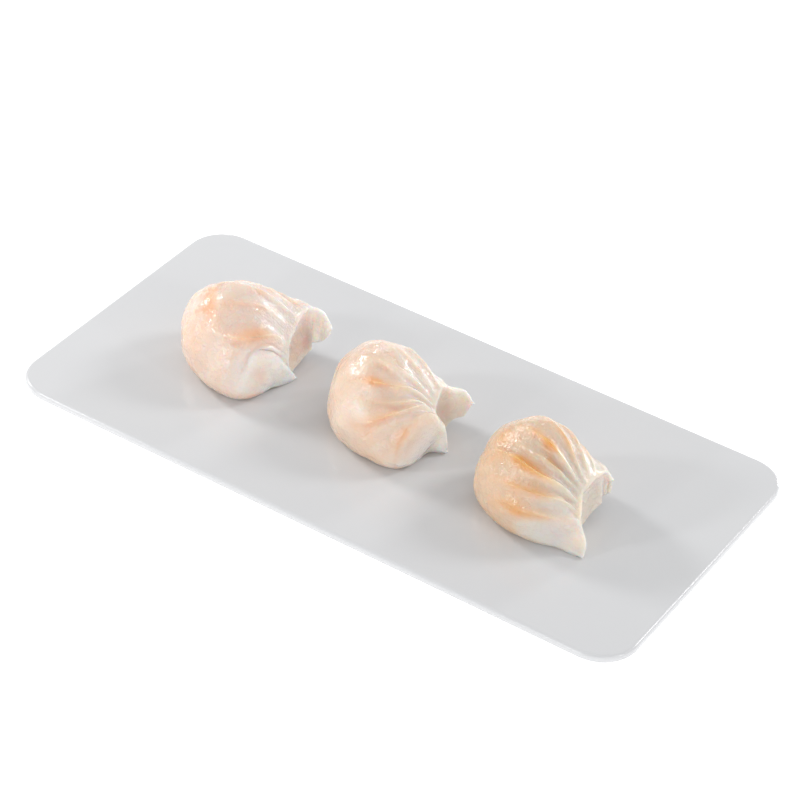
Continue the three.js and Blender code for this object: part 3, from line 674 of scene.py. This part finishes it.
def wrapperMesh(shape):
    grid, at, way, columns, size = wrapperGrid(shape)
    pleats = np.broadcast_to(np.linspace(0, len(shape["folds"]) + 1, len(grid))[:, None], at.shape)
    grid = roundEdges(grid, columns)
    normals = gridNormals(grid)
    outward = grid - grid.mean((0, 1))
    if (normals * outward).sum() < 0:
        normals = -normals
    isOuter = np.zeros(grid.shape[:2], bool)
    isOuter[:, columns["outer"]] = True
    isMouth = np.zeros(grid.shape[:2], bool)
    isMouth[:, columns["mouth"]] = True
    full = np.clip(ribValue(shape, at, 4), 0, 1)

    # how much of the filling lies close behind the skin, and how much of it shows, with painted shade and
    # light from the folds, creases and foot
    behind = full * smooth(way, *fillingAndShadePlace["nearWay"]) * smooth(at, *fillingAndShadePlace["nearAt"])
    near = np.where(isOuter, behind, 0)
    height = np.zeros(grid.shape[:2])
    flatBase = pleatedSide(shape, at[isOuter], way[isOuter])
    showAndShade = np.zeros(grid.shape[:2])
    pleat = foldRelief(shape, pleats[isOuter], way[isOuter])
    # painted shade in the fold valleys and painted light on the pleats, on top of the filling that shows
    foldShade = np.clip(pleat * fillingAndShadePlace["foldShadeGain"], *fillingAndShadePlace["foldShadeRange"])
    showAndShade[isOuter] -= foldShade * smooth(way[isOuter], *fillingAndShadePlace["foldShadeWay"])
    for crease in shape["creases"]:
        relief, seenAndShade = creaseField(shape, crease, flatBase, normals[isOuter])
        height[isOuter] += relief * creaseShape["height"]
        showAndShade[isOuter] += seenAndShade
    for lumpAt, lumpWay, radius, rise, seenAndShade in shape["lumps"]:
        spot = pleatedSide(shape, lumpAt, lumpWay)
        blob = np.exp(-(np.linalg.norm(flatBase - spot, axis=-1) / radius) ** 2)
        height[isOuter] += rise * blob
        showAndShade[isOuter] += seenAndShade * blob
    # painted shade: the tucked foot takes more of the filling colour, darker where it folds under
    showAndShade += np.where(isOuter, fillingAndShadePlace["footShadeGain"] * smooth(way, *fillingAndShadePlace["footShadeWay"]), 0)

    height += unevenHeight(shape, grid, at, way, isOuter, full)
    height *= smooth(size, unevenDough["flatTip"], 1)
    grid = grid + normals * height[..., None]
    grid[..., 2] = np.maximum(grid[..., 2], 0)  # nothing goes through the plate

    # filling also shows deep in the hollow mouth
    intoMouth = smooth(way, *fillingAndShadePlace["mouthWay"])
    offFoot = smooth(fillingAndShadePlace["mouthEnd"] - way, 0, fillingAndShadePlace["mouthFade"])
    inMouth = np.where(isMouth, full * intoMouth * offFoot, 0)
    masks = {
        "fillingNear": np.clip(near + inMouth * shape["mouthNear"], 0, 1),
        "fillingAndShade": np.clip(showAndShade + inMouth * shape["mouthShows"], -1, 1.5),
        "bareSkin": 1 - smooth(full, *fillingAndShadePlace["bareFull"]) * smooth(at, *fillingAndShadePlace["bareAt"]),
    }
    return grid, masks


def closedMesh(name, grid, masks):
    # a mesh from a grid of rings whose first and last rows are single points
    rings = grid[1:-1]
    ringCount, around = rings.shape[:2]
    points = np.concatenate([grid[:1].mean(1), rings.reshape(-1, 3), grid[-1:].mean(1)])
    here = 1 + np.arange(ringCount)[:, None] * around + np.arange(around)[None]
    after = np.roll(here, -1, 1)
    quads = np.stack([here[:-1], here[1:], after[1:], after[:-1]], -1).reshape(-1, 4).tolist()
    last = len(points) - 1
    faces = [[0, int(a), int(b)] for a, b in zip(here[0], after[0])]
    faces += quads
    faces += [[last, int(b), int(a)] for a, b in zip(here[-1], after[-1])]
    inside = points.mean(0)
    corners = points[np.array([face[:3] for face in faces])] - inside
    if np.linalg.det(corners).sum() < 0:
        faces = [face[::-1] for face in faces]
    mesh = bpy.data.meshes.new(name)
    mesh.from_pydata(points.tolist(), [], faces)
    mesh.validate()
    mesh.polygons.foreach_set("use_smooth", [True] * len(mesh.polygons))
    for key, values in masks.items():
        column = np.concatenate([values[:1].mean(1), values[1:-1].ravel(), values[-1:].mean(1)])
        mesh.attributes.new(key, "FLOAT", "POINT").data.foreach_set("value", column.astype(np.float32))
    return mesh


def addPiece(mesh, node, material):
    piece = bpy.data.objects.new(mesh.name, mesh)
    bpy.context.scene.collection.objects.link(piece)
    mesh.materials.append(material)
    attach(piece, "root")
    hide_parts(node)
    return piece


def newGroup(name, inputs, outputs):
    group = bpy.data.node_groups.new(name, "ShaderNodeTree")
    for socketName, kind, value in inputs:
        made = group.interface.new_socket(name=socketName, in_out="INPUT", socket_type=kind)
        made.default_value = value
    for socketName, kind in outputs:
        group.interface.new_socket(name=socketName, in_out="OUTPUT", socket_type=kind)
    return group


class Wiring:
    # short way to place nodes and join them in one tree
    def __init__(self, tree):
        self.tree = tree

    def add(self, kind, **values):
        node = self.tree.nodes.new(kind)
        for key, value in values.items():
            setattr(node, key, value)
        return node

    def join(self, source, target):
        self.tree.links.new(source, target)

    def feed(self, value, socket):
        if isinstance(value, bpy.types.NodeSocket):
            self.join(value, socket)
        else:
            socket.default_value = value

    def maths(self, operation, a, b=0.0, clamp=False):
        node = self.add("ShaderNodeMath", operation=operation, use_clamp=clamp)
        self.feed(a, node.inputs[0])
        self.feed(b, node.inputs[1])
        return node.outputs[0]

    def mix(self, share, a, b):
        node = self.add("ShaderNodeMix", data_type="RGBA")
        self.feed(share, node.inputs["Factor"])
        self.feed(a, node.inputs[6])
        self.feed(b, node.inputs[7])
        return node.outputs[2]

    def noise(self, position, scale, detail=2.0, roughness=0.5, distortion=0.0):
        node = self.add("ShaderNodeTexNoise")
        self.join(position, node.inputs["Vector"])
        self.feed(scale, node.inputs["Scale"])
        self.feed(detail, node.inputs["Detail"])
        self.feed(roughness, node.inputs["Roughness"])
        self.feed(distortion, node.inputs["Distortion"])
        return node.outputs["Fac"]

    def attribute(self, name):
        return self.add("ShaderNodeAttribute", attribute_name=name).outputs["Fac"]

    def spread(self, value, low, high, newLow=0.0, newHigh=1.0):
        node = self.add("ShaderNodeMapRange")
        for index, item in enumerate((value, low, high, newLow, newHigh)):
            self.feed(item, node.inputs[index])
        return node.outputs[0]


def mottleGroup():
    # soft uneven blotches over fine grain, both about 0 to 1
    group = newGroup(
        "softMottle",
        [("Size", "NodeSocketFloat", 0.01), ("Grain Size", "NodeSocketFloat", 0.001)],
        [("Blotches", "NodeSocketFloat"), ("Grain", "NodeSocketFloat")],
    )
    w = Wiring(group)
    inputs = w.add("NodeGroupInput")
    outputs = w.add("NodeGroupOutput")
    position = w.add("ShaderNodeTexCoord").outputs["Object"]
    blotches = w.noise(position, w.maths("DIVIDE", 1.0, inputs.outputs["Size"]), 3.0, 0.55, 0.4)
    grain = w.noise(position, w.maths("DIVIDE", 1.0, inputs.outputs["Grain Size"]), 2.0, 0.6)
    w.join(w.spread(blotches, 0.3, 0.7), outputs.inputs["Blotches"])
    w.join(w.spread(grain, 0.3, 0.7), outputs.inputs["Grain"])
    return group


def wetFilmGroup():
    # thin film of water: its relief, and where it lies wet or dries off
    group = newGroup(
        "wetFilm",
        [("Ripple Size", "NodeSocketFloat", 0.003), ("Bead Size", "NodeSocketFloat", 0.001),
         ("Beading", "NodeSocketFloat", 0.3), ("Patch Scale", "NodeSocketFloat", 90.0)],
        [("Height", "NodeSocketFloat"), ("Wetness", "NodeSocketFloat")],
    )
    w = Wiring(group)
    inputs = w.add("NodeGroupInput")
    outputs = w.add("NodeGroupOutput")
    position = w.add("ShaderNodeTexCoord").outputs["Object"]
    ripple = w.noise(position, w.maths("DIVIDE", 1.0, inputs.outputs["Ripple Size"]), 2.0, 0.5, 0.6)
    bead = w.noise(position, w.maths("DIVIDE", 1.0, inputs.outputs["Bead Size"]), 1.0, 0.5)
    beads = w.spread(bead, 0.52, 0.7)
    height = w.maths("ADD", ripple, w.maths("MULTIPLY", beads, inputs.outputs["Beading"]))
    w.join(height, outputs.inputs["Height"])
    patches = w.noise(position, inputs.outputs["Patch Scale"], 2.0)
    w.join(w.spread(patches, 0.35, 0.6), outputs.inputs["Wetness"])
    return group


mottle = mottleGroup()
wetFilm = wetFilmGroup()

doughFinish = {
    "roughness": 0.3,
    "wetRoughness": 0.14,
    "filmHeight": 0.00026,
    "gloss": 1.6,            # index of refraction of the wet skin
    "subsurface": 1.0,
    "subsurfaceRadius": (1.0, 0.55, 0.35),
    "subsurfaceScale": 0.006,
    "blotchSize": 0.011,     # sizes in metres
    "grainSize": 0.0011,
    "rippleSize": 0.0015,
    "beadSize": 0.0008,
    "beading": 0.3,
    "uneven": (0.75, 1.2),   # the blotches weaken and strengthen the filling's colour
    "patchShare": 0.35,      # filling that shows in stray blotches
    "deepFrom": 0.45,        # filling and painted shade that show more than this turn deeper in colour
    "deepFull": 1.15,
    "grainShare": 0.06,
}


def doughMaterial(name, colours):
    material = bpy.data.materials.new(name)
    material.use_nodes = True
    w = Wiring(material.node_tree)
    shader = material.node_tree.nodes["Principled BSDF"]

    def group(tree, **values):
        node = w.add("ShaderNodeGroup", node_tree=tree)
        for key, value in values.items():
            node.inputs[key].default_value = value
        return node.outputs

    finish = doughFinish
    soft = group(mottle, **{"Size": finish["blotchSize"], "Grain Size": finish["grainSize"]})
    film = group(wetFilm, **{
        "Ripple Size": finish["rippleSize"], "Bead Size": finish["beadSize"], "Beading": finish["beading"]})
    near = w.attribute("fillingNear")
    # this mask carries the filling that shows and the painted shade in creases, valleys and under the foot;
    # pleats below zero are painted paler
    showsAndShade = w.attribute("fillingAndShade")
    uneven = w.spread(soft["Blotches"], 0.0, 1.0, *finish["uneven"])
    hiddenAndLit = w.maths("MINIMUM", showsAndShade, 0.0)
    fillingShare = w.maths("ADD", w.maths("MULTIPLY", near, uneven), hiddenAndLit, clamp=True)
    strayBlotch = w.maths("MULTIPLY", near, finish["patchShare"])
    patch = w.maths("MULTIPLY", w.spread(soft["Blotches"], 0.55, 1.0), strayBlotch)
    showAndShadeShare = w.maths("ADD", w.maths("MULTIPLY", showsAndShade, uneven), patch, clamp=True)
    deep = w.spread(showsAndShade, finish["deepFrom"], finish["deepFull"])
    deepShare = w.maths("MULTIPLY", deep, uneven, clamp=True)
    colour = w.mix(fillingShare, (*colours["pale"], 1), (*colours["skin"], 1))
    colour = w.mix(showAndShadeShare, colour, (*colours["filling"], 1))
    colour = w.mix(deepShare, colour, (*colours["deep"], 1))
    bareShare = w.maths("SUBTRACT", w.attribute("bareSkin"), w.maths("MAXIMUM", showsAndShade, 0.0), clamp=True)
    colour = w.mix(bareShare, colour, (*colours["bare"], 1))
    grainShare = w.spread(soft["Grain"], 0.0, 1.0, 0.0, finish["grainShare"])
    w.join(w.mix(grainShare, colour, (*colours["deep"], 1)), shader.inputs["Base Color"])
    roughness = w.spread(film["Wetness"], 0.0, 1.0, finish["roughness"], finish["wetRoughness"])
    w.join(roughness, shader.inputs["Roughness"])
    bump = w.add("ShaderNodeBump")
    bump.inputs["Strength"].default_value = 1.0
    bump.inputs["Distance"].default_value = finish["filmHeight"]
    w.join(film["Height"], bump.inputs["Height"])
    w.join(bump.outputs["Normal"], shader.inputs["Normal"])
    shader.inputs["IOR"].default_value = finish["gloss"]
    shader.inputs["Subsurface Weight"].default_value = finish["subsurface"]
    shader.inputs["Subsurface Radius"].default_value = finish["subsurfaceRadius"]
    shader.inputs["Subsurface Scale"].default_value = finish["subsurfaceScale"]
    return material


def makeDumpling(shape):
    grid, masks = wrapperMesh(shape)
    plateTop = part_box("plate")[1].z
    grid = grid * mm + np.array([shape["centre"][0] * mm, shape["centre"][1] * mm, plateTop])
    mesh = closedMesh(shape["piece"], grid, masks)
    material = doughMaterial(shape["piece"] + "Dough", shape["colours"])
    piece = addPiece(mesh, shape["node"], material)
    print("made", piece.name, len(mesh.polygons), "faces")
    return piece


for shape in (leftDumpling, middleDumpling, rightDumpling):
    makeDumpling(shape)

plateShape = {
    "cornerRadius": 14,
    "leastRadius": 0.5,      # of the inner rings
    "edgeRound": 1.2,
    "cornerSteps": 40,
    "roundSteps": 12,
    "insets": [1.6, 3, 8, 20, 40],   # rings of faces on the flat top, mm in from the edge
    "glaze": (0.70, 0.705, 0.715),
    "cloud": (0.679, 0.687375, 0.715),
    "cloudShare": 0.25,
    "cloudSize": 0.05,
    "grainSize": 0.0016,
    "grainStrength": 0.4,
    "grainHeight": 0.00002,
    "roughness": 0.16,
    "cloudRoughness": 0.21,
    "gloss": 1.5,            # index of refraction
}


def plateRing(length, width, inset, height):
    # outline of the plate, a distance inside its edge, at one height
    radius = max(plateShape["cornerRadius"] - inset, plateShape["leastRadius"])
    turns = np.linspace(0, np.pi / 2, plateShape["cornerSteps"] + 1)
    points = []
    for quarter, (sideX, sideY) in enumerate(((1, 1), (-1, 1), (-1, -1), (1, -1))):
        centreX = sideX * (length / 2 - inset - radius)
        centreY = sideY * (width / 2 - inset - radius)
        for turn in turns + quarter * np.pi / 2:
            points.append((centreX + radius * math.cos(turn), centreY + radius * math.sin(turn), height))
    return points


def plateMesh():
    low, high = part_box("plate")
    length, width, thickness = ((high[k] - low[k]) / mm for k in range(3))
    edge = plateShape["edgeRound"]
    rings = []
    quarter = np.linspace(0, np.pi / 2, plateShape["roundSteps"] + 1)
    for turn in quarter:
        rings.append((edge * (1 - math.sin(turn)), edge * (1 - math.cos(turn))))
    for turn in quarter:
        rings.append((edge * (1 - math.cos(turn)), thickness - edge * (1 - math.sin(turn))))
    points = []
    for inset, height in rings:
        points += plateRing(length, width, inset, height)
    for inset in plateShape["insets"]:
        points += plateRing(length, width, inset, thickness)
    around = 4 * (plateShape["cornerSteps"] + 1)
    count = len(points) // around
    faces = [list(range(around))[::-1], list(range((count - 1) * around, count * around))]
    for ring in range(count - 1):
        for k in range(around):
            after = (k + 1) % around
            here, above = ring * around, (ring + 1) * around
            faces.append([here + k, here + after, above + after, above + k])
    mesh = bpy.data.meshes.new("plateGlazed")
    mesh.from_pydata((np.array(points) * mm).tolist(), [], faces)
    mesh.validate()
    mesh.polygons.foreach_set("use_smooth", [len(face.vertices) == 4 for face in mesh.polygons])
    return mesh


def glazeMaterial():
    material = bpy.data.materials.new("whiteGlaze")
    material.use_nodes = True
    w = Wiring(material.node_tree)
    shader = material.node_tree.nodes["Principled BSDF"]
    soft = w.add("ShaderNodeGroup", node_tree=mottle)
    soft.inputs["Size"].default_value = plateShape["cloudSize"]
    soft.inputs["Grain Size"].default_value = plateShape["grainSize"]
    blotches = soft.outputs["Blotches"]
    cloudShare = w.spread(blotches, 0.0, 1.0, 0.0, plateShape["cloudShare"])
    cloudy = w.mix(cloudShare, (*plateShape["glaze"], 1), (*plateShape["cloud"], 1))
    w.join(cloudy, shader.inputs["Base Color"])
    roughness = w.spread(blotches, 0.0, 1.0, plateShape["roughness"], plateShape["cloudRoughness"])
    w.join(roughness, shader.inputs["Roughness"])
    bump = w.add("ShaderNodeBump")
    bump.inputs["Strength"].default_value = plateShape["grainStrength"]
    bump.inputs["Distance"].default_value = plateShape["grainHeight"]
    w.join(soft.outputs["Grain"], bump.inputs["Height"])
    w.join(bump.outputs["Normal"], shader.inputs["Normal"])
    shader.inputs["IOR"].default_value = plateShape["gloss"]
    return material


plate = addPiece(plateMesh(), "plate", glazeMaterial())
print("made", plate.name)

studio = {
    "world": 0.505,
    "floor": (0.95, 0.95, 0.95),
    "floorRoughness": 0.9,
    "floorGlow": 0.36,
    "floorReach": 3,
    "floorDrop": 0.0001,     # just under the plate, so that the two don't flicker
    # name, power, size, place
    "lights": [
        ("keyLight", 2.9, 0.25, (0.55, 0.66, 0.66)),
        ("backGlint", 3.2, 0.16, (0.25, 1.05, 0.2)),
        ("backLeftGlint", 0.3, 0.06, (-0.65, 0.85, 0.28)),
        ("leftGlint", 1.8, 0.15, (-0.62, 0.02, 0.38)),
        ("frontLeftGlint", 2.4, 0.14, (-0.72, -0.82, 0.55)),
        ("frontGlint", 1.4, 0.12, (-0.15, -1.0, 0.25)),
        ("rightGlint", 0.8, 0.1, (1.0, -0.15, 0.45)),
        ("rightWide", 1.6, 0.8, (0.9, -0.5, 0.28)),
    ],
}


def areaLight(name, power, size, place):
    data = bpy.data.lights.new(name, "AREA")
    data.energy = power
    data.size = size
    light = bpy.data.objects.new(name, data)
    light.location = place
    light.rotation_euler = (-Vector(place)).to_track_quat("-Z", "Y").to_euler()
    bpy.context.scene.collection.objects.link(light)


def makeStudio():
    world = bpy.data.worlds.new("studioWhite")
    world.use_nodes = True
    world.node_tree.nodes["Background"].inputs["Color"].default_value = (1, 1, 1, 1)
    world.node_tree.nodes["Background"].inputs["Strength"].default_value = studio["world"]
    bpy.context.scene.world = world
    mesh = bpy.data.meshes.new("floor")
    reach = studio["floorReach"]
    corners = [(-reach, -reach, 0), (reach, -reach, 0), (reach, reach, 0), (-reach, reach, 0)]
    mesh.from_pydata(corners, [], [(0, 1, 2, 3)])
    material = bpy.data.materials.new("floorWhite")
    material.use_nodes = True
    shader = material.node_tree.nodes["Principled BSDF"]
    shader.inputs["Base Color"].default_value = (*studio["floor"], 1)
    shader.inputs["Roughness"].default_value = studio["floorRoughness"]
    shader.inputs["Emission Color"].default_value = (1, 1, 1, 1)
    shader.inputs["Emission Strength"].default_value = studio["floorGlow"]
    mesh.materials.append(material)
    floor = bpy.data.objects.new("floor", mesh)
    floor.location.z = -studio["floorDrop"]
    bpy.context.scene.collection.objects.link(floor)
    for name, power, size, place in studio["lights"]:
        areaLight(name, power, size, place)
    bpy.context.scene.view_settings.view_transform = "Standard"


camera = {
    "azimuth": 32.07,
    "elevation": 37.92,
    "roll": 3.12,
    "distance": 0.9974,
    "target": (-0.00934, 0.01597, 0),
    "lens": 128.788,
    "sensor": 36,
    "clipStart": 0.01,
}


def makeCamera():
    azimuth, elevation, roll = (math.radians(camera[key]) for key in ("azimuth", "elevation", "roll"))
    outward = math.cos(elevation)
    back = Vector((math.sin(azimuth) * outward, -math.cos(azimuth) * outward, math.sin(elevation)))
    levelRight = Vector((math.cos(azimuth), math.sin(azimuth), 0))
    levelUp = back.cross(levelRight)
    right = levelRight * math.cos(roll) + levelUp * math.sin(roll)
    up = levelUp * math.cos(roll) - levelRight * math.sin(roll)
    data = bpy.data.cameras.new("camera")
    data.lens = camera["lens"]
    data.sensor_width = camera["sensor"]
    data.clip_start = camera["clipStart"]
    made = bpy.data.objects.new("camera", data)
    place = Vector(camera["target"]) + back * camera["distance"]
    made.matrix_world = Matrix.Translation(place) @ Matrix((right, up, back)).transposed().to_4x4()
    bpy.context.scene.collection.objects.link(made)
    bpy.context.scene.camera = made


makeStudio()
makeCamera()
print("studio and camera made")
